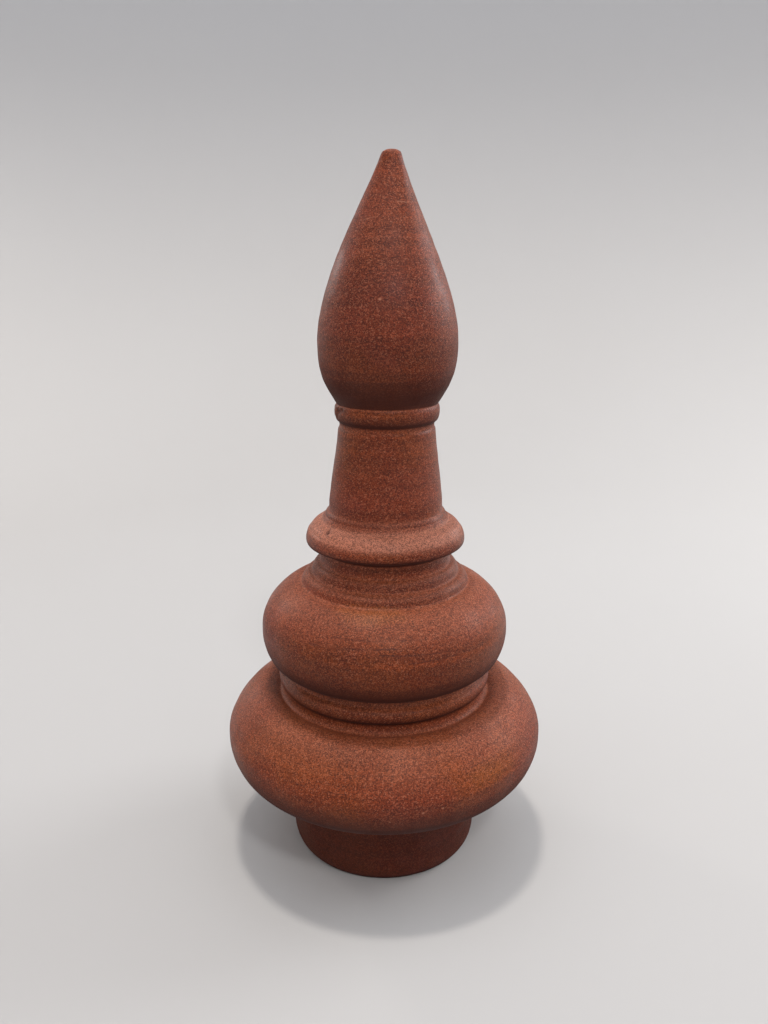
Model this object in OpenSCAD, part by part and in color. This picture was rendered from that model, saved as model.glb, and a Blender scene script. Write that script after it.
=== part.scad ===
// Roof finial in unglazed terracotta, thrown on a wheel as one hollow piece.
// Two squat bellies carry a moulded flange, a tapering neck and a pointed bud.
// The open foot drops over a spigot on the ridge. Millimetres, +Z up, and the
// origin is the centre of the ring that the foot stands on.

/* [Foot] */
// Diameter of the ring that stands on the ridge
rim_d = 79; // [72:0.5:96]
// How much the foot's wall is wider than that ring, above the turned-under edge
rim_flare = 5; // [1:0.5:8]
// Height of the turned-under edge
rim_bevel_h = 4.5; // [2:0.5:8]
// Diameter of the foot where it meets the lower belly
foot_top_d = 86; // [76:1:104]
// Height of the foot
foot_h = 32; // [24:1:40]
// Bore of the open foot
socket_d = 64; // [50:1:66]
// Depth of the straight bore
socket_depth = 28; // [20:1:34]

/* [Lower belly] */
// Widest diameter
lower_belly_d = 141; // [112:1:180]
// Rise from the foot to the widest place
lower_belly_rise = 24.5; // [18:0.5:32]
// Rise from the widest place to the groove on the shoulder
lower_shoulder_rise = 18; // [13:0.5:24]

/* [Collar between the bellies] */
// Diameter of the groove at its foot
collar_groove_d = 94; // [84:1:98]
// Height of the cove over the groove
collar_cove_h = 5; // [3:0.5:8]
// Diameter of the ring over the cove
collar_ring_d = 94.5; // [90:0.5:104]
// Height of that ring
collar_ring_h = 5.5; // [3:0.5:8]
// Diameter of the throat between the ring and the upper belly
throat_d = 89; // [80:1:92]
// Height of that throat
throat_h = 4; // [2:0.5:8]

/* [Upper belly] */
// Widest diameter
upper_belly_d = 108; // [96:1:132]
// Rise from the throat to the widest place
upper_belly_rise = 16; // [12:0.5:22]
// Rise from the widest place to the collar above
upper_shoulder_rise = 20.5; // [14:0.5:26]

/* [Collar under the flange] */
// Diameter at its foot
upper_collar_d = 73.5; // [68:0.5:84]
// Height of each of its two turned steps
collar_step_h = 4.6; // [2:0.1:7]
// How much each step comes in, on the radius
collar_step_in = 3.9; // [1:0.1:6]
// Height of the cove from the steps up to the flange
flange_cove_h = 4.8; // [3:0.1:8]
// Diameter at the top of that cove
flange_cove_d = 54.5; // [50:0.5:57]

/* [Flange] */
// Diameter of the rounded edge
flange_d = 69; // [62:0.5:80]
// Height of the hollow underside
flange_under_h = 3.7; // [2.5:0.1:8]
// Height of the rounded edge
flange_edge_h = 6; // [3:0.5:9]
// Height of the sloping top
flange_top_h = 4.2; // [2:0.1:8]

/* [Neck] */
// Diameter at the foot of the two small rolls under it
neck_roll_d = 54; // [52:0.5:60]
// Height of the two rolls
neck_roll_h = 4; // [3:0.5:8]
// Diameter at the foot of the neck
neck_foot_d = 48.5; // [44:0.5:52]
// Diameter at the top of the neck
neck_top_d = 40.5; // [36:0.5:48]
// Length of the neck
neck_h = 35; // [26:1:46]

/* [Bead] */
// Height of the groove under the bead
bead_groove_h = 3.2; // [1:0.1:5]
// How deep that groove is cut, on the radius
bead_groove_in = 0.6; // [0.3:0.1:2]
// Diameter of the bead
bead_d = 43; // [40:0.5:52]
// Height of the bead
bead_h = 7; // [4:0.5:10]

/* [Bud] */
// Widest diameter
bud_d = 57.5; // [48:0.5:68]
// Rise from the bead to the widest place
bud_rise = 24.9; // [20:0.1:34]
// Rise from the widest place to the tip
bud_taper_h = 72.5; // [56:0.5:90]
// Diameter of the blunt tip
tip_d = 8; // [5:0.5:12]
// Height of the rounded crown on it
tip_crown_h = 2; // [1:0.1:4]

/* [Clay] */
// Thickness of the thrown wall
wall = 7.5; // [5:0.5:9]
// Solid clay over the hollow at the tip
tip_solid_h = 20; // [14:1:30]

/* [Hidden] */
$fn = 96;
clay = [0.49, 0.24, 0.17];

// Small turned details
arris = 1;       // break of a worked edge
tool_nick = 0.5; // depth of a line left by the turning tool
roll_out = 1.2;  // how far a small roll stands out
cove_in = 1.4;   // how far a small cove is cut in

// Levels of the mouldings, each standing on the one below
belly_1 = foot_h + lower_belly_rise;
groove_1 = belly_1 + lower_shoulder_rise;
ring_1 = groove_1 + collar_cove_h;
throat_1 = ring_1 + collar_ring_h;
under_2 = throat_1 + throat_h;
belly_2 = under_2 + upper_belly_rise;
collar_2 = belly_2 + upper_shoulder_rise;
step_2 = collar_2 + collar_step_h;
cove_2 = step_2 + collar_step_h;
flange_0 = cove_2 + flange_cove_h;
edge_0 = flange_0 + flange_under_h;
edge_1 = edge_0 + flange_edge_h;
roll_0 = edge_1 + flange_top_h;
neck_0 = roll_0 + neck_roll_h;
neck_1 = neck_0 + neck_h;
bead_0 = neck_1 + bead_groove_h;
bud_0 = bead_0 + bead_h;
bud_1 = bud_0 + bud_rise;
tip_0 = bud_1 + bud_taper_h;

// Fullness of the large curves: how far the pull at each end reaches, as a
// share of the stretch's own width and height.
belly_under = [[0.33, 0.18], [0, 0.83]];
belly_over = [[0, 0.43], [0.46, -0.32]];
upper_under = [[0.83, 0.07], [0, 0.37]];
upper_over = [[0, 0.56], [0.42, 0.08]];
bud_under = [[0.55, 0.28], [0, 0.56]];
bud_over = [[0, 0.33], [0.2, 0.23]];
foot_side = [[0.5, 0.3], [0.1, 0.4]];
flare = [[0, 0.4], [0.6, 0.3]];
neck_side = [[0.1, 0.3], [0.1, 0.25]];
lean = [[0.5, 0.2], [0.2, 0.5]];
crown = [[0.15, 0.45], [0.5, 0.2]];
turn = [[0.1, 0.5], [0.1, 0.5]];

// Radius and height of a point on the profile, from a diameter
function at(d, z) = [d / 2, z];

// The place level with p on the inside of the wall
function inside(p) = p - [wall, 0];

// The place inside a corner of the wall, over a floor (side 1) or under a roof
// (side -1)
function tucked(p, side) = p + wall * [-0.6, side];

// A point of the curve from a to b with its two pulls, at t from 0 to 1
function bend(a, p, q, b, t) =
    pow(1 - t, 3) * a + 3 * pow(1 - t, 2) * t * p + 3 * (1 - t) * t * t * q + t * t * t * b;

// A long curve from a up to b, without its last point
function curve(a, b, pull, n = 10) =
    let (
        span = b - a,
        p = a + [pull[0][0] * span[0], pull[0][1] * span[1]],
        q = b - [pull[1][0] * span[0], pull[1][1] * span[1]]
    )
    [for (i = [0 : n - 1]) bend(a, p, q, b, i / n)];

// A half-round roll from a up to b, or a cove where out is negative,
// without its last point
function roll(a, b, out, n = 8) =
    [for (i = [0 : n - 1])
        a + (1 - cos(180 * i / n)) / 2 * (b - a) + [out * sin(180 * i / n), 0]];

// Places on the outside where one moulding meets the next
foot_side_0 = at(rim_d + rim_flare, rim_bevel_h);
foot_top = at(foot_top_d, foot_h);
wide_1 = at(lower_belly_d, belly_1);
nock_1 = at(collar_groove_d, groove_1);
ring_foot = at(collar_ring_d - 2 * roll_out, ring_1);
ring_top = at(collar_ring_d - 2 * roll_out, throat_1);
throat = at(throat_d, under_2);
wide_2 = at(upper_belly_d, belly_2);
collar_foot = at(upper_collar_d, collar_2);
step_foot = collar_foot + [-collar_step_in, collar_step_h];
cove_foot = step_foot + [-collar_step_in, collar_step_h];
cove_top = at(flange_cove_d, flange_0);
edge_foot = at(flange_d - 2 * arris, edge_0);
edge_top = at(flange_d - 4 * arris, edge_1);
roll_foot = at(neck_roll_d, roll_0);
neck_foot = at(neck_foot_d, neck_0);
roll_mid = (roll_foot + neck_foot) / 2;
neck_top = at(neck_top_d, neck_1);
bead_foot = at(bead_d - 2 * roll_out, bead_0);
bud_foot = at(bead_d - roll_out, bud_0);
wide_3 = at(bud_d, bud_1);
tip = at(tip_d, tip_0);

// The outside, from the standing ring up to the tip
outer = concat(
    curve(at(rim_d, 0), foot_side_0, lean, 4),
    curve(foot_side_0, foot_top, foot_side, 6),
    curve(foot_top, wide_1, belly_under, 14),
    curve(wide_1, nock_1, belly_over, 14),
    roll(nock_1, ring_foot, -cove_in, 5),
    roll(ring_foot, ring_top, roll_out, 8),
    [ring_top, at(throat_d, throat_1 + arris)],
    curve(throat, wide_2, upper_under, 12),
    curve(wide_2, collar_foot, upper_over, 12),
    roll(collar_foot, step_foot, tool_nick, 5),
    roll(step_foot - [tool_nick, 0], cove_foot, tool_nick, 5),
    curve(cove_foot - [tool_nick, 0], cove_top, flare, 5),
    curve(cove_top, edge_foot, flare, 6),
    roll(edge_foot, edge_top, arris, 8),
    curve(edge_top, roll_foot, crown, 6),
    roll(roll_foot, roll_mid, tool_nick, 5),
    roll(roll_mid, neck_foot, tool_nick, 5),
    curve(neck_foot, neck_top, neck_side, 6),
    roll(neck_top, bead_foot, -bead_groove_in, 6),
    roll(bead_foot, bud_foot, roll_out, 8),
    curve(bud_foot, wide_3, bud_under, 12),
    curve(wide_3, tip - [0, tip_crown_h], bud_over, 20),
    [for (a = [0, 30, 60, 90]) [tip_d / 2 * cos(a), tip_0 - tip_crown_h * (1 - sin(a))]]
);

// The hollow, from the open foot up to the closed tip
socket_top = at(socket_d, socket_depth);
floor_1 = tucked(foot_top, 1);
roof_1 = tucked(nock_1, -1);
throat_in = inside(at(throat_d, throat_1));
floor_2 = tucked(throat, 1);
roof_2 = tucked(collar_foot, -1);
floor_3 = tucked(bud_foot, 1);
inner = concat(
    [at(socket_d, 0)],
    curve(socket_top, floor_1, turn, 5),
    curve(floor_1, inside(wide_1), belly_under, 10),
    curve(inside(wide_1), roof_1, belly_over, 10),
    curve(roof_1, throat_in, turn, 5),
    curve(throat_in, floor_2, turn, 5),
    curve(floor_2, inside(wide_2), upper_under, 8),
    curve(inside(wide_2), roof_2, upper_over, 8),
    curve(roof_2, inside(cove_top), turn, 6),
    curve(inside(cove_top), inside(neck_foot), turn, 5),
    curve(inside(neck_foot), inside(neck_top), neck_side, 4),
    curve(inside(neck_top), floor_3, turn, 4),
    curve(floor_3, inside(wide_3), bud_under, 8),
    curve(inside(wide_3), at(0, tip_0 - tip_solid_h), bud_over, 14),
    [at(0, tip_0 - tip_solid_h)]
);
inner_down = [for (i = [len(inner) - 1 : -1 : 0]) inner[i]];

// The whole finial is one thrown wall, closed at the tip and open at the foot
module finial() {
    color(clay)
        rotate_extrude()
            polygon(concat(outer, inner_down));
}

finial();
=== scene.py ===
# %% [markdown]
# # A thrown terracotta roof finial
# The real thing is one hollow pot, thrown on a wheel, trimmed with a loop tool
# while it was leather hard, and fired without a glaze. It stands on an open
# foot, which drops over a spigot at the end of a ridge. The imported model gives
# the exact outline and the wall. This script reads that outline back, softens
# it as a wet sponge does, turns it into one watertight mesh with the marks of
# throwing, trimming and handling in it, and gives it a fired clay finish made
# of shader nodes. Everything is in metres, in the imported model's own frame.

import math

import bpy
import numpy as np
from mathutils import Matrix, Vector


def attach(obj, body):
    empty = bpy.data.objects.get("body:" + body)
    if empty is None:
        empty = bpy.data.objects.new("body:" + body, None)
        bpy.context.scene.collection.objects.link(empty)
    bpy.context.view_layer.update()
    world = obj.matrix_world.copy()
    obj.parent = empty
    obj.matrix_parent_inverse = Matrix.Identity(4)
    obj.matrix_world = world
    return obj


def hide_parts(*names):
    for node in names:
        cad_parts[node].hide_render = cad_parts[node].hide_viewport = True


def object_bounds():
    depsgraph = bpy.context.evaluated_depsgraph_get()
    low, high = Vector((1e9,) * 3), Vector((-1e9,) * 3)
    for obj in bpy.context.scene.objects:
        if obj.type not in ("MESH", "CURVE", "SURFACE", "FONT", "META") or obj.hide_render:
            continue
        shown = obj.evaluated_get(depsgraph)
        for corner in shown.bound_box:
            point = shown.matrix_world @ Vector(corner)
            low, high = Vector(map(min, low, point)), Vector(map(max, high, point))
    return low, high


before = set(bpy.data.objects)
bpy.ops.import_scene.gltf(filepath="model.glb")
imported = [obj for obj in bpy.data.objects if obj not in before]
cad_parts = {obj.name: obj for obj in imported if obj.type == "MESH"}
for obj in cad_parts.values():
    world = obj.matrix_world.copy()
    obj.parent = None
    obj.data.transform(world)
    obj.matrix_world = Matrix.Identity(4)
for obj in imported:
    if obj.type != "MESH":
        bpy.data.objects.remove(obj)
cad_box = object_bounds()
low, high = cad_box
print("packed model, mm:", [round(1000 * (b - a), 1) for a, b in zip(low, high)])

MM = 0.001
widest = high.x / MM
top = high.z / MM

# %% [markdown]
# ## The outline
# A pot is a turned shape, so all of its form is in one line: from the tip down
# the outside, across the ring that it stands on, and up the hollow inside. The
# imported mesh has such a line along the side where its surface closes, on +X.
# Picking the vertices there and walking along the edges that join them gives
# back the line exactly, whatever sizes the model was packed with.

# %% Read the outline from the seam
ON_SEAM = 1e-6  # m, how near the seam's plane a vertex of it lies


def seam_links(pot):
    """Which places on the +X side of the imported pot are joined, in mm as (radius, height)."""
    place = {
        v.index: (round(v.co.x / MM, 3), round(v.co.z / MM, 3))
        for v in pot.data.vertices
        if abs(v.co.y) < ON_SEAM and v.co.x > -ON_SEAM
    }
    links = {}
    for edge in pot.data.edges:
        a, b = (place.get(i) for i in edge.vertices)
        on_the_foot = a and b and a[1] == b[1] == 0
        if a and b and a != b and not on_the_foot:
            links.setdefault(a, set()).add(b)
            links.setdefault(b, set()).add(a)
    return links


def walk(links, start):
    """The line of joined places from start up to where it ends."""
    line = [start]
    while True:
        ahead = [p for p in links[line[-1]] if p not in line]
        if not ahead:
            return np.array(line)
        line.append(min(ahead, key=lambda p: math.dist(p, line[-1])))


links = seam_links(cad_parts["finial"])
standing = sorted(p for p in links if p[1] == 0)
bore_edge, rim_edge = standing[0], standing[-1]
outside_up = walk(links, rim_edge)
inside_up = walk(links, bore_edge)
print("outside", len(outside_up), "places, inside", len(inside_up), "places")

# %% [markdown]
# ## From straight facets to a soft line
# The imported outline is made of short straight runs. On the pot the long curves
# are smooth, and the sharp corners that the tool left were rounded by a wet
# sponge. So each run between two real corners gets a smooth curve through its
# places, and then the whole line is blurred over a third of a millimetre. The
# blur pulls a corner in and fills a nook, which is what the sponge does, and
# leaves a long curve alone.

# %% Smooth the long curves and sponge the corners
CORNER = math.radians(44)  # a turn sharper than this is a worked corner
STEP = 0.1  # mm between places on the fine line
SPONGE = 0.32  # mm that the sponge rounds


def smooth_run(run):
    """A curve through the places of one run, at steps of about STEP."""
    chord = np.diff(run, axis=0)
    length = np.hypot(chord[:, 0], chord[:, 1])
    slope = chord / length[:, None]
    lean = np.empty_like(run)
    if len(run) > 2:
        share = (length[1:] / (length[1:] + length[:-1]))[:, None]
        lean[1:-1] = slope[:-1] * share + slope[1:] * (1 - share)
        lean[0] = 1.5 * slope[0] - 0.5 * lean[1]
        lean[-1] = 1.5 * slope[-1] - 0.5 * lean[-2]
    else:
        lean[:] = slope[0]
    places = []
    for a, b, u, v, size in zip(run[:-1], run[1:], lean[:-1], lean[1:], length):
        t = np.arange(0, 1, STEP / size)[:, None]
        places.append(
            (2 * t**3 - 3 * t**2 + 1) * a
            + (t**3 - 2 * t**2 + t) * size * u
            + (3 * t**2 - 2 * t**3) * b
            + (t**3 - t**2) * size * v
        )
    return np.concatenate(places)


def smooth_line(line):
    """The whole line, smooth between its corners."""
    chord = np.diff(line, axis=0)
    heading = np.unwrap(np.arctan2(chord[:, 1], chord[:, 0]))
    corners = [0, *(np.flatnonzero(abs(np.diff(heading)) > CORNER) + 1), len(line) - 1]
    runs = [smooth_run(line[a : b + 1]) for a, b in zip(corners[:-1], corners[1:])]
    return np.concatenate([*runs, line[-1:]])


def evenly(line, step):
    """The line again, at even steps along it."""
    way = np.r_[0, np.cumsum(np.hypot(*np.diff(line, axis=0).T))]
    at = np.linspace(0, way[-1], int(way[-1] / step))
    return np.column_stack([np.interp(at, way, line[:, k]) for k in (0, 1)])


def sponged(line, reach):
    """The line blurred over reach, with its two ends held."""
    half = int(4 * reach / STEP)
    weight = np.exp(-0.5 * (np.arange(-half, half + 1) * STEP / reach) ** 2)
    weight /= weight.sum()
    ends = [2 * line[0] - line[half:0:-1], line, 2 * line[-1] - line[-2 : -half - 2 : -1]]
    held = np.concatenate(ends)
    return np.column_stack([np.convolve(held[:, k], weight, "valid") for k in (0, 1)])


apex = np.array([[0.0, top]])
outline = np.concatenate(
    [apex, smooth_line(outside_up)[::-1], smooth_line(inside_up)]
)
outline = sponged(evenly(outline, STEP), SPONGE)
outline[:, 0] = np.clip(outline[:, 0], 0, widest)
outline[:, 1] = np.clip(outline[:, 1], 0, top)
print("line of", len(outline), "places, widest", round(outline[:, 0].max(), 2), "mm")

# %% [markdown]
# ## Where the rows of the mesh go
# The mesh can't have a row every tenth of a millimetre. Rows are spent where
# the line bends, and a flat stretch gets few. Each place on the line costs its
# length and its turn, and rows at even cost come out close together on the
# beads and steps and wide apart on the long curves. The blur of the turn along
# the line also says where clay stands proud and where it is tucked in, which
# the finish needs later.

# %% Choose the rows
SEGMENTS = 240
ROWS_OUTSIDE, ROWS_INSIDE = 336, 62
TURN_COST_OUTSIDE, TURN_COST_INSIDE = 5.0, 3.0  # what a radian costs, in mm of line
SHARPEST = 1.2  # radians a mm, and a sharper turn counts as this
ON_GROUND = 0.02  # mm, lower than this is the standing ring
END_GAP = 3  # places left free at each end, where one vertex closes the skin

heading = np.unwrap(np.arctan2(*np.gradient(outline, axis=0).T[::-1]))
turn = np.gradient(heading) / STEP  # radians a mm
way = np.arange(len(outline)) * STEP
foot_place = np.flatnonzero(outline[:, 1] < ON_GROUND)
outer_end, inner_start = foot_place[0], foot_place[-1]


def rows_at_even_cost(first, last, count, turn_cost):
    """Places on the line from first to last, close where it turns."""
    cost = STEP * (1 + turn_cost * np.minimum(abs(turn[first:last]), SHARPEST))
    paid = np.r_[0, np.cumsum(cost)]
    return np.interp(np.linspace(0, paid[-1], count), paid, np.arange(first, last + 1))


last_place = len(outline) - 1 - END_GAP
rows = np.concatenate(
    [
        rows_at_even_cost(END_GAP, outer_end, ROWS_OUTSIDE, TURN_COST_OUTSIDE),
        np.linspace(outer_end, inner_start, 4)[1:-1],  # two rows across the standing ring
        rows_at_even_cost(inner_start, last_place, ROWS_INSIDE, TURN_COST_INSIDE),
    ]
)
row_way = rows * STEP


def along_rows(values):
    """A value of the fine line, read at the rows."""
    return np.interp(rows, np.arange(len(values)), values)


radius, height = along_rows(outline[:, 0]), along_rows(outline[:, 1])
normal_angle = along_rows(heading) + math.pi / 2
outward = np.column_stack([np.cos(normal_angle), np.sin(normal_angle)])
is_outside = rows <= outer_end
print(len(rows), "rows, closest", round(np.diff(row_way).min(), 2), "mm, farthest",
      round(np.diff(row_way).max(), 2), "mm")

# %% [markdown]
# ## Marks of the wheel and of the hand
# Real throwing is never quite round or even. Three things show: the body is a
# little out of round, the fingers and the trimming tool leave soft rings, and
# the clay has a few knocks. At its widest ring the pot may only go in from the
# drawn line and not out, so it keeps its measured size. Soft unevenness is made
# by adding waves that close up after a full turn. They come from a seeded
# generator, so every run makes the same pot.

# %% Soft unevenness that closes round the pot
angles = np.arange(SEGMENTS) * 2 * math.pi / SEGMENTS
x_side, y_side = np.cos(angles), np.sin(angles)
front_angle = np.degrees(np.arctan2(x_side, -y_side))  # 0 in front, + to the right


def waves(seed, count, turns, lengths, size):
    """Uneven swells of about size mm: whole turns round the pot, lengths in mm along it."""
    chance = np.random.default_rng(seed)
    swell = np.zeros((len(rows), SEGMENTS))
    for _ in range(count):
        m = chance.integers(turns[0], turns[1] + 1)
        wavelength = chance.uniform(*lengths)
        phase = chance.uniform(0, 2 * math.pi)
        swell += np.sin(m * angles[None, :] + 2 * math.pi * row_way[:, None] / wavelength + phase)
    return size * swell / math.sqrt(count)


def eased(value, start, end):
    """0 before start, 1 after end, and a soft step between."""
    t = np.clip((value - start) / (end - start), 0, 1)
    return t * t * (3 - 2 * t)


# seed, waves, whole turns round the pot, lengths along it in mm, swell in mm
out_of_round = waves(11, 7, (1, 3), (90, 260), 0.14)
finger_rings = waves(23, 9, (0, 1), (4.5, 9), 0.03) * is_outside[:, None]
tool_flats = waves(31, 12, (2, 9), (8, 30), 0.035) * is_outside[:, None]
throwing_rings = waves(47, 6, (0, 1), (9, 16), 0.35) * (~is_outside)[:, None]
RING_HALF = 0.8  # mm from the middle of a turned ring to its foot
collar_rings = [  # level and lift, in mm, of the rings of the upper collar
    (126.2, -0.5), (128.0, 0.35), (130.9, -0.5), (132.8, 0.35), (135.8, -0.35),
]
turned_rings = sum(
    lift_by * np.exp(-(((height - level) / RING_HALF) ** 2)) for level, lift_by in collar_rings
)
turned_rings = (turned_rings * is_outside)[:, None]
straight = 1 - eased(abs(along_rows(turn)), 0.05, 0.3)  # 0 where the line bends sharply

on_long_curves = (finger_rings + tool_flats + throwing_rings) * straight[:, None]
uneven = out_of_round + turned_rings + on_long_curves
clear_of_ends = eased(height, 0.3, 6) * (1 - eased(height, top - 6, top - 0.5))
uneven *= clear_of_ends[:, None]  # the standing ring and the tip stay as drawn
print("unevenness:", round(uneven.min(), 2), "to", round(uneven.max(), 2), "mm")

# %% [markdown]
# ## Knocks, drags and the bent tip
# The bead under the bud is broken away at the left. The flange has a small pit
# where a stone dropped out, and the tool dragged grit across the upper belly.
# The top of the bud was pulled a little to one side while it was soft, so the
# bud stands off the middle line and its tip more so. Each mark is a dip with
# its own place: degrees round from the front, and mm above the ground.

# %% Cut the marks


def dip(round_at, high_at, half_round, half_high, depth, ragged=0.0, seed=0):
    """A hollow of half_round by half_high mm, deepest in its middle."""
    across = (front_angle[None, :] - round_at) * math.pi / 180 * radius[:, None] / half_round
    up = ((height - high_at) / half_high)[:, None]
    chance = np.random.default_rng(seed)
    rough = sum(
        np.sin(k * across * 1.7 + chance.uniform(0, 6))
        * np.sin(k * up * 1.3 + chance.uniform(0, 6))
        for k in (1.6, 2.9, 4.7)
    )
    reach = np.sqrt(across**2 + up**2) + ragged * rough / 3
    return -depth * (1 - eased(reach, 0.25, 1.0)) * is_outside[:, None]


HAIR = 0.01  # mm kept free inside the widest ring
LEAN_BLUR = 13  # rows over which the lean is softened

knocks = (  # degrees round and mm up, half its width and height in mm, depth in mm
    dip(-64, 200.6, 3.4, 1.7, 0.85, ragged=0.8, seed=3)  # broken edge of the bead
    + dip(-71, 198.6, 2.4, 1.5, 0.6, ragged=0.8, seed=12)
    + dip(-57, 201.4, 2.0, 1.0, 0.5, ragged=0.7, seed=14)
    + dip(-84, 197.0, 2.2, 1.6, 0.5, ragged=0.7, seed=8)
    + dip(-52, 151.9, 1.6, 0.9, 1.1, ragged=0.15, seed=5)  # pit in the flange
    + dip(22, 274.7, 1.3, 0.8, 0.3, ragged=0.2, seed=6)  # nick in the bud
    + dip(15.8, 119.9, 1.0, 0.6, 0.35)
)
drags = sum(
    dip(at, z, long, thick, deep, ragged=0.25, seed=int(z * 10))
    for at, z, long, thick, deep in [  # as above, without its raggedness
        (-30, 116.8, 17, 0.9, 0.16), (-12, 115.0, 15, 0.8, 0.14), (8, 112.9, 19, 0.9, 0.18),
        (27, 114.4, 12, 0.7, 0.12), (-44, 113.2, 12, 0.8, 0.13), (44, 110.2, 14, 0.8, 0.12),
        (-20, 110.6, 16, 0.8, 0.12), (150, 115.2, 20, 0.9, 0.15), (-140, 112.5, 18, 0.9, 0.15),
    ]
)
room = (widest - radius)[:, None]  # the widest ring may only go in
relief = np.minimum(uneven, room - HAIR) + knocks + drags
lean_z = [0, 85, 140, 190, 235, 265, 285, 300]  # mm up
lean_x = [0, 0, 0.5, 1.0, 1.6, 1.6, 2.2, 3.0]  # mm to the right there
lean = np.pad(np.interp(height, lean_z, lean_x), LEAN_BLUR // 2, mode="edge")
lean = np.convolve(lean, np.ones(LEAN_BLUR) / LEAN_BLUR, "valid")
print("deepest mark", round(-relief.min(), 2), "mm, tip over by", round(lean[0], 2), "mm")

# %% [markdown]
# ## The pot as one mesh
# Rows and columns give a sheet of quads, and one vertex closes it at the tip
# and one at the top of the hollow. It is one closed skin: outside, standing
# ring and inside, so it can be printed or weighed as it is. The measures that
# the finish needs go with it as named values on the vertices: how far along
# the line a place is, how proud or tucked in it is, and how deep it was cut.

# %% Build the pot
TIP_RISE = 0.02  # mm from the first row up to the vertex that closes the tip
SOFT_ROWS = 15  # rows over which the turn is softened for the finish


def pot_mesh(name):
    """The closed mesh, in metres, with its values for the finish."""
    r = radius[:, None] + relief * outward[:, :1]
    z = height[:, None] + relief * outward[:, 1:]
    x, y = r * x_side + lean[:, None], r * y_side
    grid = np.stack([x, y, z], axis=2).reshape(-1, 3)
    tip_at = [lean[0], 0, min(height[0] + TIP_RISE, top)]
    crown_at = [lean[-1], 0, height[-1]]
    places = np.concatenate([grid, [tip_at, crown_at]]) * MM
    tip, crown = len(grid), len(grid) + 1

    count = len(rows)
    j = np.arange(SEGMENTS)
    k = (j + 1) % SEGMENTS
    faces = [(tip, int(a), int(b)) for a, b in zip(j, k)]
    for i in range(count - 1):
        here, below = i * SEGMENTS, (i + 1) * SEGMENTS
        corners = (here + j, below + j, below + k, here + k)
        faces += zip(*(c.tolist() for c in corners))
    end = (count - 1) * SEGMENTS
    faces += [(end + int(a), crown, end + int(b)) for a, b in zip(j, k)]
    mesh = bpy.data.meshes.new(name)
    mesh.from_pydata(places.tolist(), [], faces)
    mesh.validate()
    mesh.polygons.foreach_set("use_smooth", [True] * len(mesh.polygons))
    return mesh


def give(mesh, name, by_row, ends):
    """Puts a value on the vertices: one for each row or each place, and one for each end."""
    values = np.broadcast_to(np.asarray(by_row).reshape(len(rows), -1), (len(rows), SEGMENTS))
    kept = mesh.attributes.new(name, "FLOAT", "POINT")
    kept.data.foreach_set("value", np.r_[values.ravel(), ends].astype(np.float32))


mesh = pot_mesh("finial_pot")
soft_turn = along_rows(np.convolve(turn, np.ones(SOFT_ROWS) / SOFT_ROWS, "same"))
proud = np.clip(-soft_turn, 0, SHARPEST)
tucked = np.clip(soft_turn, 0, SHARPEST)
at_tip = np.argmin(abs(height - top))
if proud[at_tip] < tucked[at_tip]:  # the tip stands proud, which tells the turn's sign
    proud, tucked = tucked, proud
give(mesh, "along", row_way, [0, row_way[-1]])
give(mesh, "proud", proud, [0, 0])
give(mesh, "tucked", tucked, [0, 0])
give(mesh, "cut", -(knocks + drags), [0, 0])
pot = bpy.data.objects.new("finial_pot", mesh)
bpy.context.scene.collection.objects.link(pot)
triangles = sum(len(f.vertices) - 2 for f in mesh.polygons)
print("pot:", len(mesh.vertices), "vertices,", triangles, "triangles")

# %% [markdown]
# ## Small tools for the finish
# A material is a tree of nodes. These helpers add a node, set its plain values
# and join what it reads, so that each effect below can be read as a sentence.

# %% Helpers for node trees


def put(tree, value, socket):
    """Sets a socket to a plain value, or joins it to another socket."""
    if isinstance(value, bpy.types.NodeSocket):
        tree.links.new(value, socket)
    elif value is not None:
        socket.default_value = value


def node(tree, kind, reads=None, **settings):
    """Adds a node. reads names its sockets, and settings are its own options."""
    made = tree.nodes.new("ShaderNode" + kind)
    for name, value in settings.items():
        setattr(made, name, value)
    for name, value in (reads or {}).items():
        put(tree, value, made.inputs[name])
    return made


def maths(tree, operation, *terms, clamp=False):
    """One sum: operation on up to three terms."""
    made = node(tree, "Math", operation=operation, use_clamp=clamp)
    for term, socket in zip(terms, made.inputs):
        put(tree, term, socket)
    return made.outputs[0]


def ramp(tree, value, low, high, start=0.0, end=1.0):
    """A soft step: start below low, end above high."""
    reads = {"Value": value, "From Min": low, "From Max": high, "To Min": start, "To Max": end}
    return node(tree, "MapRange", reads, interpolation_type="SMOOTHSTEP").outputs["Result"]


def blend_colour(tree, amount, under, over, blend="MIX"):
    """Lays one colour over another by amount."""
    made = node(tree, "Mix", data_type="RGBA", blend_type=blend)
    colours = [s for s in made.inputs if s.type == "RGBA"]
    put(tree, amount, made.inputs["Factor"])
    put(tree, under, colours[0])
    put(tree, over, colours[1])
    return next(s for s in made.outputs if s.type == "RGBA")


def cloud(tree, place, scale, detail=2.0, rough=0.5, extra=None):
    """Soft noise from 0 to 1."""
    reads = {"Vector": place, "Scale": scale, "Detail": detail, "Roughness": rough}
    made = node(tree, "TexNoise", noise_dimensions="3D" if extra is None else "4D")
    for name, value in reads.items():
        put(tree, value, made.inputs[name])
    if extra is not None:
        put(tree, extra, made.inputs["W"])
    return made.outputs[0]


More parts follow.
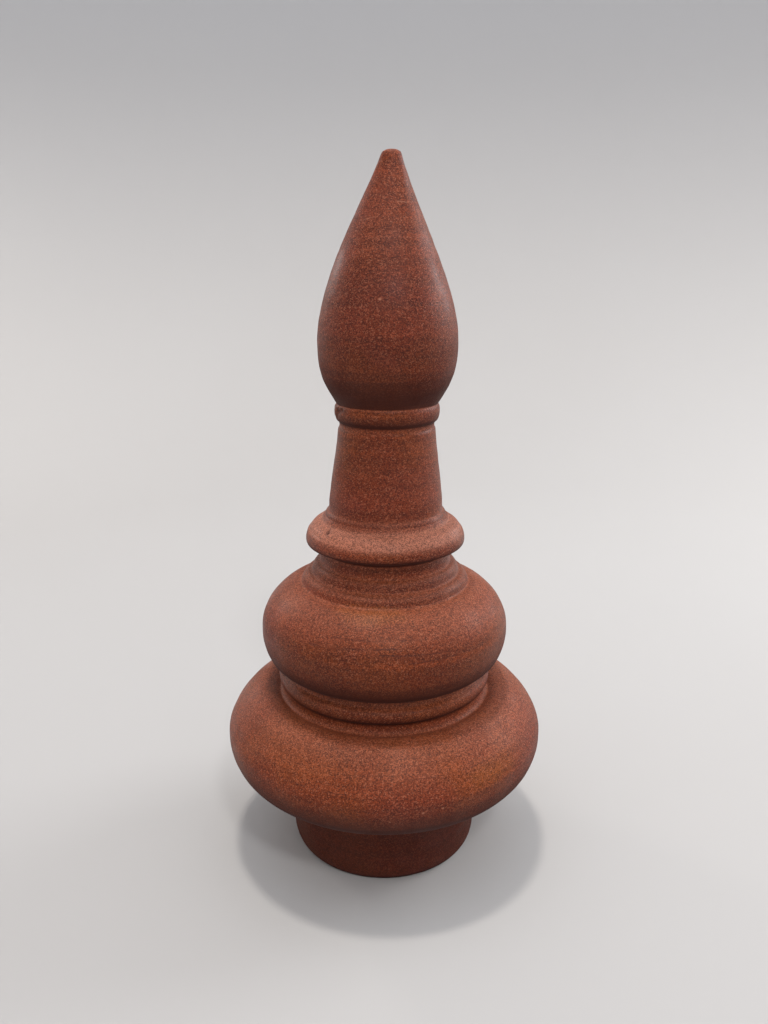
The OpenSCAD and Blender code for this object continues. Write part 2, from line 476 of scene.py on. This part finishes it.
def group(name, takes, gives):
    """A new node group. It takes {name: (kind, value)} and gives {name: kind}."""
    tree = bpy.data.node_groups.new(name, "ShaderNodeTree")
    for label, (kind, value) in takes.items():
        socket = tree.interface.new_socket(label, in_out="INPUT", socket_type="NodeSocket" + kind)
        if value is not None:
            socket.default_value = value
    for label, kind in gives.items():
        tree.interface.new_socket(label, in_out="OUTPUT", socket_type="NodeSocket" + kind)
    return tree, tree.nodes.new("NodeGroupInput").outputs, tree.nodes.new("NodeGroupOutput").inputs


def use(tree, effect, **reads):
    """Places a node group in a material. Underscores stand for spaces in its socket names."""
    made = tree.nodes.new("ShaderNodeGroup")
    made.node_tree = effect
    for name, value in reads.items():
        put(tree, value, made.inputs[name.replace("_", " ")])
    return made.outputs


print("helpers for node trees are ready")

# %% [markdown]
# ## Effect: sandy clay
# The clay is full of fine sand. Under the tool the grains dragged and dropped
# out, and the fired skin looks like sandpaper: pale grains, dark pores and a
# slight lift and fall. Cells of a Voronoi pattern give separate grains, and
# noise breaks up how many there are from place to place.

# %% Sandy clay
sandy_clay, take, give_out = group(
    "Sandy clay",
    {"Place": ("Vector", None), "Grain": ("Float", 0.6), "Pores": ("Float", 0.5)},
    {"Height": "Float", "Pale": "Float", "Pore": "Float", "Mottle": "Float", "Speckle": "Float",
     "Patchy": "Float"},
)
t = sandy_clay
fineness = maths(t, "DIVIDE", 1000.0, take["Grain"])
cells = node(t, "TexVoronoi", {"Vector": take["Place"], "Scale": fineness, "Randomness": 1.0})
shade_of_cell = node(t, "SeparateColor", {"Color": cells.outputs["Color"]}).outputs[0]
squashed = node(
    t, "VectorMath", {0: take["Place"], 1: (0.75, 0.75, 1.25)}, operation="MULTIPLY"
).outputs[0]
fine = cloud(t, squashed, maths(t, "MULTIPLY", fineness, 0.7), 3.0, 0.75)
patchy = cloud(t, take["Place"], 55.0, 3.0, 0.6)
grainy = maths(t, "MULTIPLY_ADD", shade_of_cell, 0.45, maths(t, "MULTIPLY", fine, 0.75))
pale_here = ramp(t, shade_of_cell, 0.86, 0.98)
pale = maths(t, "MULTIPLY", pale_here, ramp(t, patchy, 0.35, 0.7, 0.3, 1.0))
wider = maths(t, "MULTIPLY", fineness, 0.45)
pore_cells = node(
    t, "TexVoronoi", {"Vector": take["Place"], "Scale": wider, "Randomness": 1.0}
)
pore_shade = node(t, "SeparateColor", {"Color": pore_cells.outputs["Color"]}).outputs[1]
in_pore = ramp(t, pore_cells.outputs["Distance"], 0.05, 0.3, 1.0, 0.0)
fewest = maths(t, "SUBTRACT", 1.0, maths(t, "MULTIPLY", take["Pores"], 0.25))
pore = maths(t, "MULTIPLY", in_pore, ramp(t, pore_shade, fewest, 1.0))
put(t, maths(t, "SUBTRACT", grainy, pore), give_out["Height"])
put(t, pale, give_out["Pale"])
put(t, pore, give_out["Pore"])
put(t, fine, give_out["Mottle"])
put(t, patchy, give_out["Patchy"])
speckle = maths(t, "MULTIPLY_ADD", shade_of_cell, 0.65, maths(t, "MULTIPLY", fine, 0.35))
put(t, speckle, give_out["Speckle"])
print("made", sandy_clay.name)

# %% [markdown]
# ## Effect: lines of the turning tool
# A tool held against a turning pot leaves fine lines that run right round it.
# They lie side by side along the outline, so the pattern reads how far along
# the line a place is, and hardly changes with the way round. A little of the
# true place keeps them from running unbroken all the way.

# %% Lines of the turning tool
turning_lines, take, give_out = group(
    "Turning lines",
    {"Place": ("Vector", None), "Along": ("Float", 0.0), "Spacing": ("Float", 1.0),
     "Breaks": ("Float", 6.0)},
    {"Height": "Float", "Streak": "Float"},
)
t = turning_lines
apart = node(t, "SeparateXYZ", {"Vector": take["Place"]}).outputs
waver = maths(t, "MULTIPLY", maths(t, "SUBTRACT", cloud(t, take["Place"], 14.0, 2.0), 0.5), 3.0)
path = maths(t, "DIVIDE", maths(t, "ADD", take["Along"], waver), take["Spacing"])
across = [maths(t, "MULTIPLY", apart[k], take["Breaks"]) for k in (0, 1)]
lined = node(t, "CombineXYZ", {"X": path, "Y": across[0], "Z": across[1]}).outputs[0]
fine_lines = cloud(t, lined, 1.0, 3.0, 0.6)
wide_at = node(
    t, "CombineXYZ", {"X": maths(t, "MULTIPLY", path, 0.21), "Y": across[1], "Z": across[0]}
).outputs[0]
wide_lines = cloud(t, wide_at, 1.0, 2.0, 0.5)
line_height = maths(t, "MULTIPLY_ADD", fine_lines, 0.6, maths(t, "MULTIPLY", wide_lines, 0.4))
put(t, line_height, give_out["Height"])
put(t, wide_lines, give_out["Streak"])
print("made", turning_lines.name)

# %% [markdown]
# ## Effect: colours of the kiln
# Where flame and air reached the clay it fired more orange, and where pots
# stood close it stayed browner. These are broad clouds of colour without
# edges. One group gives two masks, and a second one lays a single ragged patch
# at a chosen place, for the few stains that are clearly there.

# %% Colours of the kiln
kiln_colours, take, give_out = group(
    "Kiln colours",
    {"Place": ("Vector", None), "Size": ("Float", 60.0)},
    {"Warm": "Float", "Brown": "Float"},
)
t = kiln_colours
broad = maths(t, "DIVIDE", 1000.0, take["Size"])
put(t, ramp(t, cloud(t, take["Place"], broad, 3.0, 0.55), 0.42, 0.72), give_out["Warm"])
shifted = node(
    t, "VectorMath", {0: take["Place"], 1: (0.37, 0.11, 0.23)}, operation="ADD"
).outputs[0]
brown_cloud = cloud(t, shifted, maths(t, "MULTIPLY", broad, 1.3), 3.0, 0.55)
put(t, ramp(t, brown_cloud, 0.45, 0.75), give_out["Brown"])

ragged_patch, take, give_out = group(
    "Ragged patch",
    {"Place": ("Vector", None), "Centre": ("Vector", None), "Reach": ("Vector", (0.01, 0.01, 0.01)),
     "Ragged": ("Float", 0.4)},
    {"Mask": "Float"},
)
t = ragged_patch
off = node(t, "VectorMath", {0: take["Place"], 1: take["Centre"]}, operation="SUBTRACT").outputs[0]
scaled = node(t, "VectorMath", {0: off, 1: take["Reach"]}, operation="DIVIDE").outputs[0]
far = node(t, "VectorMath", {0: scaled}, operation="LENGTH").outputs["Value"]
edge = maths(t, "SUBTRACT", cloud(t, take["Place"], 160.0, 4.0, 0.65), 0.5)
bent = maths(t, "MULTIPLY_ADD", edge, maths(t, "MULTIPLY", take["Ragged"], 2.0), far)
put(t, ramp(t, bent, 0.2, 1.0, 1.0, 0.0), give_out["Mask"])
print("made", kiln_colours.name, "and", ragged_patch.name)

# %% [markdown]
# ## Effect: a scored line
# A stray grain under the tool, or a knock later on, leaves one thin line on the
# skin. The group draws it between two angles at one level, lets it climb a
# little, and breaks it up so that it comes and goes.

# %% A scored line
scored_line, take, give_out = group(
    "Scored line",
    {"Place": ("Vector", None), "Middle": ("Float", 0.0), "Half": ("Float", 30.0),
     "Level": ("Float", 200.0), "Climb": ("Float", 0.0), "Thick": ("Float", 0.4)},
    {"Mask": "Float"},
)
t = scored_line
apart = node(t, "SeparateXYZ", {"Vector": take["Place"]}).outputs
turned = maths(t, "ARCTAN2", apart[0], maths(t, "MULTIPLY", apart[1], -1.0))
from_middle = maths(t, "SUBTRACT", maths(t, "DEGREES", turned), take["Middle"])
level = maths(t, "MULTIPLY_ADD", from_middle, take["Climb"], take["Level"])
ragged = maths(t, "SUBTRACT", cloud(t, take["Place"], 300.0, 2.0), 0.5)
off_line = maths(t, "SUBTRACT", maths(t, "MULTIPLY_ADD", apart[2], 1000.0, ragged), level)
line_share = maths(t, "ABSOLUTE", maths(t, "DIVIDE", off_line, take["Thick"]))
on_line = ramp(t, line_share, 0.3, 1.0, 1.0, 0.0)
half_share = maths(t, "DIVIDE", maths(t, "ABSOLUTE", from_middle), take["Half"])
between = ramp(t, half_share, 0.6, 1.0, 1.0, 0.0)
broken = ramp(t, cloud(t, take["Place"], 170.0, 2.0), 0.38, 0.56)
put(t, maths(t, "MULTIPLY", maths(t, "MULTIPLY", on_line, between), broken), give_out["Mask"])
print("made", scored_line.name)

# %% [markdown]
# ## Effect: settled dust and painted shade
# Fine clay dust lies on whatever faces up and stays in the roughness of the
# skin. The surface's own direction gives where, and noise makes it patchy. What
# faces down, and the foot under the belly, gets a second mask instead: painted
# shade, which later darkens these places as the shade that falls there would.

# %% Settled dust and painted shade
FOOT_SHADE = (0.022, 0.038)  # m, where the painted shade on the foot ends under the belly

dust_and_painted_shade, take, give_out = group(
    "Dust and painted shade",
    {"Place": ("Vector", None), "Amount": ("Float", 0.5)},
    {"Mask": "Float", "Painted shade below": "Float"},
)
t = dust_and_painted_shade
facing = node(t, "SeparateXYZ", {"Vector": node(t, "NewGeometry").outputs["Normal"]}).outputs[2]
lies = ramp(t, facing, 0.2, 0.95)
patchy = ramp(t, cloud(t, take["Place"], 45.0, 4.0, 0.6), 0.25, 0.75, 0.45, 1.0)
put(t, maths(t, "MULTIPLY", maths(t, "MULTIPLY", lies, patchy), take["Amount"]), give_out["Mask"])
# Painted shade: what faces down and the foot low down get this mask, which later darkens them as
# the shade under the bellies would.
level = node(t, "SeparateXYZ", {"Vector": take["Place"]}).outputs[2]
foot_painted_shade = ramp(t, level, *FOOT_SHADE, 0.75, 0.0)
put(t, maths(t, "MAXIMUM", ramp(t, facing, -0.62, 0.22, 1.0, 0.0), foot_painted_shade), give_out["Painted shade below"])
print("made", dust_and_painted_shade.name)

# %% [markdown]
# ## The outside: turned and fired clay
# One Principled shader carries the finish, and its colour is built up in layers,
# as a painter would: the fired body, then wear, dust and a painted highlight,
# then grains, pores and painted shade, and last the few marks that are clearly
# there. It could be one long tree, but with a function for each layer every step
# can be read and changed on its own. First come the colours, and the tools that
# start a finish.

# %% Colours of the clay
BODY = (0.200, 0.029, 0.006, 1)
PINK = (0.204, 0.035, 0.018, 1)
OCHRE = (0.270, 0.075, 0.006, 1)
BROWN = (0.122, 0.020, 0.006, 1)
UMBER = (0.206, 0.037, 0.004, 1)
DUST = (0.378, 0.102, 0.044, 1)
# A pale tone, laid as a painted highlight on the top of the flange.
PAINTED_HIGHLIGHT = (0.600, 0.230, 0.140, 1)
GRIT = (0.430, 0.168, 0.095, 1)
PORE = (0.060, 0.014, 0.008, 1)
# A near-black brown, laid as painted shade on creases, undersides and the foot.
PAINTED_SHADE_TONE = (0.040, 0.006, 0.002, 1)
print("the body's colour, as light:", BODY[:3])

# %% Start a finish


def around(degrees, z, r):
    """A place on the pot: degrees from the front, height and radius in mm."""
    a = math.radians(degrees)
    return (r * math.sin(a) * MM, -r * math.cos(a) * MM, z * MM)


def new_finish(name):
    """An empty material with a Principled shader, its place and its line values."""
    made = bpy.data.materials.new(name)
    made.use_nodes = True
    tree = made.node_tree
    shader = tree.nodes["Principled BSDF"]
    place = node(tree, "TexCoord").outputs["Object"]
    values = {
        key: node(tree, "Attribute", attribute_name=key).outputs["Fac"]
        for key in ("along", "proud", "tucked", "cut")
    }
    return made, tree, shader, place, values


def lift(tree, shader, height_mm, strength=1.0):
    """Joins a height in mm to the shader through a Bump node."""
    bump = node(tree, "Bump", {"Strength": strength, "Distance": MM, "Height": height_mm})
    put(tree, bump.outputs["Normal"], shader.inputs["Normal"])


print("a place in front at the widest ring:", [round(c, 3) for c in around(0, 56.5, widest)])

# %% [markdown]
# ## Layer 1: the fired body
# The clay itself goes from pink to umber and brown in broad clouds, with a few
# ochre stains where a flame licked it. The turning tool pressed some bands
# tighter than others, and those fired darker, so the streaks and the mottle
# multiply the colour rather than cover it.

# %% The fired body
STAINS = [  # middle, reach in m, amount, tone
    (around(-6, 123.6, 38), (0.020, 0.012, 0.004), 0.75, OCHRE),
    (around(38, 63.0, 68), (0.016, 0.018, 0.006), 0.35, OCHRE),
    (around(-36, 118.0, 47), (0.022, 0.018, 0.008), 0.35, PINK),
    (around(160, 70.0, 62), (0.022, 0.018, 0.008), 0.50, OCHRE),
    (around(-120, 116.0, 48), (0.018, 0.018, 0.007), 0.40, OCHRE),
]


def fired_body(tree, place, sand, lines, kiln):
    """The clay's own colour, with kiln clouds, stains and turned bands."""
    colour = blend_colour(tree, kiln["Warm"], UMBER, PINK)
    colour = blend_colour(tree, ramp(tree, sand["Patchy"], 0.4, 0.65, 0.0, 0.6), colour, BODY)
    colour = blend_colour(tree, maths(tree, "MULTIPLY", kiln["Brown"], 0.6), colour, BROWN)
    for centre, reach, amount, tone in STAINS:
        mask = use(tree, ragged_patch, Place=place, Centre=centre, Reach=reach, Ragged=0.7)["Mask"]
        colour = blend_colour(tree, maths(tree, "MULTIPLY", mask, amount), colour, tone)
    streak = ramp(tree, lines["Streak"], 0.35, 0.65, 0.86, 1.12)
    colour = blend_colour(tree, 1.0, colour, streak, "MULTIPLY")
    mottle = ramp(tree, sand["Mottle"], 0.3, 0.7, 0.80, 1.20)
    return blend_colour(tree, 1.0, colour, mottle, "MULTIPLY")


print("stains:", len(STAINS))

# %% [markdown]
# ## Layer 2: wear, dust and a painted highlight
# Hands and weather rub whatever stands proud, and dust lies on what faces up.
# The top of the flange, a ledge right under the overhead light, gets a painted
# highlight: a pale tone that makes it the palest place on the pot. It is found
# by its level, since no other ledge lies at that height.

# %% Wear, dust and a painted highlight
FLANGE_STARTS = (0.1460, 0.1505)  # m, the painted highlight comes in over the edge
FLANGE_ENDS = (0.1535, 0.1550)  # m, and is gone under the neck


def worn_dusty_and_highlit(tree, colour, place, values, dust):
    """Paler proud edges, settled dust, and a painted highlight on the top of the flange."""
    worn = maths(tree, "MULTIPLY", values["proud"], 0.45, clamp=True)
    colour = blend_colour(tree, worn, colour, DUST)
    colour = blend_colour(tree, dust, colour, DUST)
    # Painted highlight: the top of the flange is painted paler, found by its level.
    level = node(tree, "SeparateXYZ", {"Vector": place}).outputs[2]
    over_edge = ramp(tree, level, *FLANGE_STARTS)
    under_neck = ramp(tree, level, *FLANGE_ENDS, 0.55, 0.0)
    flange_highlight = maths(tree, "MULTIPLY", over_edge, under_neck)
    return blend_colour(tree, flange_highlight, colour, PAINTED_HIGHLIGHT)


print("the painted flange highlight runs from", FLANGE_STARTS[0], "to", FLANGE_ENDS[1], "m")

# %% [markdown]
# ## Layer 3: grains, pores and painted shade
# Seen close, the skin is sand: each grain is a little lighter or darker than
# the next, some are pale, and where one dropped out there is a dark pore. The
# speckle goes over the dust, because dust only films the grains. The cuts are
# darkened by their depth as painted shade, and the painted shade of the creases,
# the undersides and the foot comes last and evens everything out there.

# %% Grains, pores and painted shade


def sanded_and_painted_shade(tree, colour, sand, values, painted_shade_below):
    """The grain of the skin, painted shade in the cuts, and painted shade on the creases,
    undersides and foot.
    """
    speckle = ramp(tree, sand["Speckle"], 0.15, 0.85, 0.42, 1.42)
    colour = blend_colour(tree, 1.0, colour, speckle, "MULTIPLY")
    colour = blend_colour(tree, ramp(tree, sand["Speckle"], 0.62, 0.85, 0.0, 0.30), colour, GRIT)
    # Painted shade in the cuts: the deeper a knock or drag is cut, the darker it is painted.
    cut = maths(tree, "MULTIPLY", values["cut"], 0.9, clamp=True)
    colour = blend_colour(tree, cut, colour, PORE)
    colour = blend_colour(tree, maths(tree, "MULTIPLY", sand["Pale"], 0.4), colour, GRIT)
    colour = blend_colour(tree, maths(tree, "MULTIPLY", sand["Pore"], 0.75), colour, PORE)
    # Painted shade: the tucked-in creases, what faces down and the foot are laid towards a
    # near-black brown.
    deep = maths(tree, "MULTIPLY_ADD", values["tucked"], 0.16, painted_shade_below, clamp=True)
    return blend_colour(tree, maths(tree, "MULTIPLY", deep, 0.95), colour, PAINTED_SHADE_TONE)


# %% [markdown]
# ## Layer 4: scored lines and grit
# A few thin lines and pale flecks are plain to see and have a place of their
# own, so they are listed and not left to noise. The back gets some too, since
# the tool went all the way round.

# %% Scored lines and grit
SCORED = [  # middle and half in degrees, level in mm, climb, thickness in mm, amount, tone
    (-2, 30, 228.4, 0.0, 0.35, 0.45, PORE), (-15, 26, 214.3, 0.0, 0.35, 0.45, PORE),
    (46, 26, 280.3, 0.0, 0.35, 0.55, GRIT), (-30, 19, 274.2, 0.045, 0.3, 0.4, GRIT),
    (-16, 30, 114.4, 0.04, 0.5, 0.6, PORE), (14, 22, 112.6, -0.03, 0.45, 0.5, PORE),
    (-4, 26, 117.6, 0.0, 0.4, 0.45, PORE), (30, 24, 110.2, 0.02, 0.4, 0.5, PORE),
    (-28, 22, 61.5, 0.0, 0.4, 0.35, PORE), (26, 26, 66.8, 0.0, 0.4, 0.35, PORE),
    (170, 40, 222.0, 0.0, 0.35, 0.45, PORE), (-130, 36, 113.0, 0.02, 0.45, 0.5, PORE),
    (120, 34, 62.0, 0.0, 0.4, 0.4, PORE),
]
FLECKS = [  # degrees from the front, level and radius in mm
    (50.6, 230.1, 27.9), (-0.8, 237.8, 27.0), (-3.4, 245.3, 25.6), (-15.7, 254.9, 22.8),
    (7.4, 214.0, 26.3), (19.0, 55.1, 70.3), (12.4, 54.4, 70.2), (1.9, 51.2, 69.4),
    (140.0, 240.0, 26.8),
]
FLECK = (0.0009, 0.0009, 0.0007)  # m, the reach of one pale fleck


def scored_and_flecked(tree, colour, place):
    """The thin lines and the pale flecks that have a place of their own."""
    for middle, half, level, climb, thick, amount, tone in SCORED:
        mask = use(
            tree, scored_line, Place=place, Middle=middle, Half=half, Level=level, Climb=climb,
            Thick=thick,
        )["Mask"]
        colour = blend_colour(tree, maths(tree, "MULTIPLY", mask, amount), colour, tone)
    for degrees, level, r in FLECKS:
        centre = around(degrees, level, r)
        mask = use(tree, ragged_patch, Place=place, Centre=centre, Reach=FLECK, Ragged=0.2)["Mask"]
        colour = blend_colour(tree, maths(tree, "MULTIPLY", mask, 0.9, clamp=True), colour, GRIT)
    return colour


print("scored lines:", len(SCORED), "and flecks:", len(FLECKS))

# %% [markdown]
# ## The layers together
# The finish places each effect once and hands its masks to the layers. The
# same grains and tool lines that colour the clay also lift it through a Bump
# node, so that a dark pore is a hollow too. Dusty clay is duller, and so is
# the clay under the painted shade.

# %% The outside finish


def turned_outside():
    """Red-brown clay, turned and left bare."""
    made, tree, shader, place, values = new_finish("fired clay outside")
    sand = use(tree, sandy_clay, Place=place, Grain=0.36, Pores=0.6)
    lines = use(tree, turning_lines, Place=place, Along=values["along"], Spacing=0.7, Breaks=7.0)
    kiln = use(tree, kiln_colours, Place=place, Size=70.0)
    dust_and_shade = use(tree, dust_and_painted_shade, Place=place, Amount=0.62)
    dust, painted_shade_below = dust_and_shade["Mask"], dust_and_shade["Painted shade below"]

    colour = fired_body(tree, place, sand, lines, kiln)
    colour = worn_dusty_and_highlit(tree, colour, place, values, dust)
    colour = sanded_and_painted_shade(tree, colour, sand, values, painted_shade_below)
    colour = scored_and_flecked(tree, colour, place)
    put(tree, colour, shader.inputs["Base Color"])

    rough = ramp(tree, sand["Patchy"], 0.35, 0.65, 0.40, 0.54)
    rough = maths(tree, "MULTIPLY_ADD", painted_shade_below, 0.35, rough)
    put(tree, maths(tree, "MULTIPLY_ADD", dust, 0.15, rough), shader.inputs["Roughness"])
    shader.inputs["Specular IOR Level"].default_value = 0.26
    coarse = ramp(tree, sand["Patchy"], 0.35, 0.6, 0.07, 0.17)
    grain = maths(tree, "MULTIPLY", sand["Height"], coarse)
    lift(tree, shader, maths(tree, "MULTIPLY_ADD", lines["Height"], 0.12, grain), 0.9)
    return made


mesh.materials.append(turned_outside())
print("nodes outside:", len(mesh.materials[0].node_tree.nodes))

# %% [markdown]
# ## The inside: thrown and left
# Nobody trims the hollow, so it keeps the slip of throwing: smoother clay with
# coarser, softer rings, and no dust or wear. It takes the same effects with its
# own values. The faces past the standing ring get this second material.

# %% The inside finish


def thrown_inside():
    """The hollow: wetter, smoother clay that no tool touched, and duller."""
    made, tree, shader, place, values = new_finish("fired clay inside")
    sand = use(tree, sandy_clay, Place=place, Grain=0.9, Pores=0.3)
    lines = use(tree, turning_lines, Place=place, Along=values["along"], Spacing=2.6, Breaks=4.0)
    kiln = use(tree, kiln_colours, Place=place, Size=50.0)
    colour = blend_colour(tree, kiln["Brown"], BODY, BROWN)
    streak = ramp(tree, lines["Streak"], 0.35, 0.65, 0.8, 1.1)
    colour = blend_colour(tree, 1.0, colour, streak, "MULTIPLY")
    colour = blend_colour(tree, maths(tree, "MULTIPLY", sand["Pore"], 0.5), colour, PORE)
    put(tree, colour, shader.inputs["Base Color"])
    put(tree, ramp(tree, sand["Mottle"], 0.3, 0.7, 0.7, 0.85), shader.inputs["Roughness"])
    grain = maths(tree, "MULTIPLY", sand["Height"], 0.08)
    lift(tree, shader, maths(tree, "MULTIPLY_ADD", lines["Height"], 0.3, grain))
    return made


mesh.materials.append(thrown_inside())
inner_rows = int(np.searchsorted(rows, inner_start))
inside_face = np.zeros(len(mesh.polygons), np.int32)
inside_face[SEGMENTS * (inner_rows + 1) :] = 1
mesh.polygons.foreach_set("material_index", inside_face)
print("faces inside the hollow:", int(inside_face.sum()))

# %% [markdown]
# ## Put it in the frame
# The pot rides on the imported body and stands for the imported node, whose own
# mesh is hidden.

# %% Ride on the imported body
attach(pot, "root")
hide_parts("finial")
print(pot.name, "rides on root and stands for finial")

# %% [markdown]
# ## The paper sweep
# The pot stands on a pale sheet of paper that curves up behind it. A flat plane
# would show its edge, so this sheet sweeps up all round, and no edge shows from
# any side. Its flat part has a faint warm mottle, and its wall is painted greyer
# towards the top, as painted shade on the backdrop.

# %% The sweep
FLAT, SWEEP_R, SWEEP_TOP = 0.62, 0.55, 1.35  # m: flat reach, radius of the curve, height
BEND_STEPS = 24
SWEEP_SEGMENTS = 128


def sweep(name):
    """A round floor that curves up into a wall, as one smooth mesh."""
    bend_steps = [i / BEND_STEPS * math.pi / 2 for i in range(BEND_STEPS + 1)]
    line = [(0.0, 0.0), (FLAT * 0.3, 0.0), (FLAT * 0.7, 0.0)]
    line += [(FLAT + SWEEP_R * math.sin(a), SWEEP_R * (1 - math.cos(a))) for a in bend_steps]
    line += [(FLAT + SWEEP_R, SWEEP_TOP)]
    places, faces = [(0.0, 0.0, 0.0)], []
    for r, z in line[1:]:
        for k in range(SWEEP_SEGMENTS):
            a = 2 * math.pi * k / SWEEP_SEGMENTS
            places.append((r * math.cos(a), r * math.sin(a), z))
    for k in range(SWEEP_SEGMENTS):
        n = (k + 1) % SWEEP_SEGMENTS
        faces.append((0, 1 + k, 1 + n))
        for i in range(len(line) - 2):
            a, b = 1 + i * SWEEP_SEGMENTS, 1 + (i + 1) * SWEEP_SEGMENTS
            faces.append((a + k, b + k, b + n, a + n))
    made = bpy.data.meshes.new(name)
    made.from_pydata(places, [], faces)
    made.polygons.foreach_set("use_smooth", [True] * len(made.polygons))
    return made


floor = bpy.data.objects.new("floor_sweep", sweep("floor_sweep"))
bpy.context.scene.collection.objects.link(floor)
print("sweep:", len(floor.data.vertices), "vertices")

# %% The paper
paper = bpy.data.materials.new("pale paper")
paper.use_nodes = True
tree = paper.node_tree
shader = tree.nodes["Principled BSDF"]
paper_place = node(tree, "TexCoord").outputs["Object"]
rise = node(tree, "SeparateXYZ", {"Vector": paper_place}).outputs[2]
tone = cloud(tree, paper_place, 3.0, 2.0)
flat_tone = blend_colour(tree, tone, (0.57, 0.545, 0.52, 1), (0.59, 0.568, 0.545, 1))
# Painted shade: the paper is laid greyer the higher it rises up the wall.
wall_painted_shade = ramp(tree, rise, 0.02, 0.9)
paper_tone = blend_colour(tree, wall_painted_shade, flat_tone, (0.385, 0.385, 0.395, 1))
put(tree, paper_tone, shader.inputs["Base Color"])
shader.inputs["Roughness"].default_value = 0.85
shader.inputs["Specular IOR Level"].default_value = 0.2
floor.data.materials.append(paper)
print("made", paper.name)

# %% [markdown]
# ## Lights
# A small lamp high above gives the firm shadow under the bellies, because a
# small source has sharp shadows and a large one has soft shadows. Dim panels in
# front, at the right and behind at the left shape the sides, and a pale sky
# fills the rest.

# %% Lights


def panel(name, at, towards, size, watts, colour):
    """A square soft light."""
    data = bpy.data.lights.new(name, "AREA")
    data.shape = "SQUARE"
    data.size = size
    data.energy = watts
    data.color = colour
    lamp = bpy.data.objects.new(name, data)
    lamp.location = at
    lamp.rotation_euler = (Vector(towards) - Vector(at)).to_track_quat("-Z", "Y").to_euler()
    bpy.context.scene.collection.objects.link(lamp)
    return lamp


lamps = [  # name, place, what it faces, size in m, watts, colour
    ("lamp_overhead", (-0.13, 0.09, 2.6), (0, 0, 0), 0.22, 19.5, (1.0, 0.96, 0.91)),
    ("panel_front_right", (0.27, -0.95, 1.2), (0, 0, 0.2), 0.16, 3.8, (0.95, 0.97, 1.0)),
    ("panel_right", (1.0, 0.45, 0.55), (0, 0, 0.15), 0.6, 8.0, (0.92, 0.96, 1.0)),
    ("panel_back_left", (-0.85, 0.8, 0.55), (0, 0, 0.05), 0.2, 2.6, (1.0, 0.97, 0.93)),
]
for lamp in lamps:
    panel(*lamp)
sky = bpy.data.worlds.new("pale sky")
sky.use_nodes = True
background = sky.node_tree.nodes["Background"]
background.inputs["Color"].default_value = (0.87, 0.91, 1.0, 1)
background.inputs["Strength"].default_value = 0.98
bpy.context.scene.world = sky
print("lights:", [name for name, *_ in lamps])

# %% [markdown]
# ## Camera
# The pot is seen from close in front, with the eye level with the upper bud and
# looking down, so the foot shows as an open ellipse and the tip nearly from the
# side. From so close the perspective is strong, and a longer lens from farther
# off would flatten it.

# %% Camera
EYE = (0, -0.3495, 0.2592)  # m
LOOK_DOWN = 16.55  # degrees below level
SENSOR, FOCAL_LENGTH = 36, 29.8  # mm
NEAREST = 0.01  # m, closer than this isn't drawn

lens = bpy.data.cameras.new("camera")
lens.sensor_width = SENSOR
lens.lens = FOCAL_LENGTH
lens.clip_start = NEAREST
camera = bpy.data.objects.new("camera", lens)
camera.location = EYE
camera.rotation_euler = (math.radians(90 - LOOK_DOWN), 0, 0)
bpy.context.scene.collection.objects.link(camera)
bpy.context.scene.camera = camera
bpy.context.scene.view_settings.view_transform = "Standard"
print("camera looks down by", LOOK_DOWN, "degrees")
